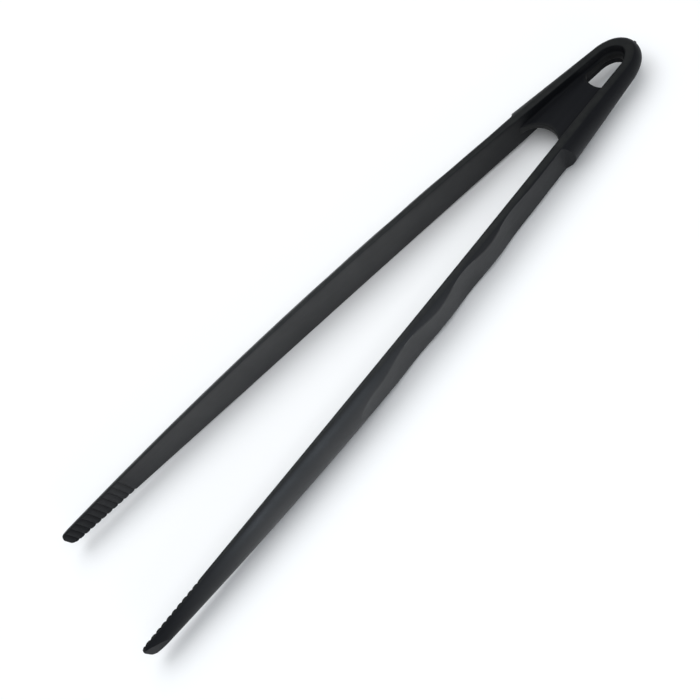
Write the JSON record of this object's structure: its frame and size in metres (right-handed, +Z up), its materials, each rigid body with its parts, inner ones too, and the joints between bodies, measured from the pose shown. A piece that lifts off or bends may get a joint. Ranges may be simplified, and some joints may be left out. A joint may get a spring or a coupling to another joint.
{
  "type": "spring tongs",
  "caption": "Moulded kitchen tongs: a sprung U-shaped head with a web and hanging slot, two bowed arms with finger waves, and toothed tips.",
  "frame": {"origin": "bottom centre of the bounding box, on the surface that the tongs lie on", "axes": "+X from the sprung head to the tips, Y is the direction in which the arms open, +Z is up when the tongs lie on their side"},
  "size_m": [0.305, 0.0664, 0.019],
  "materials": {
    "black_nylon": "satin black moulded nylon"
  },
  "bodies": {
    "head": {"spring_hoop": "black_nylon", "head_web": "black_nylon", "left_neck": "black_nylon", "right_neck": "black_nylon"},
    "left_lever": {"left_arm": "black_nylon", "left_jaw": "black_nylon"},
    "right_lever": {"right_arm": "black_nylon", "right_jaw": "black_nylon"}
  },
  "joints": [
    {"name": "left_squeeze", "type": "hinge", "parent": "head", "child": "left_lever", "pos_m": [-0.0869, -0.01266, 0.0095], "axis": [0, 0, 1], "range_deg": [-3, 7.1], "stiffness_Nm_per_rad": 5, "deforming": ["left_neck"]},
    {"name": "right_squeeze", "type": "hinge", "parent": "head", "child": "right_lever", "pos_m": [-0.0869, 0.01266, 0.0095], "axis": [0, 0, -1], "range_deg": [-3, 7.1], "stiffness_Nm_per_rad": 5, "deforming": ["right_neck"]}
  ]
}
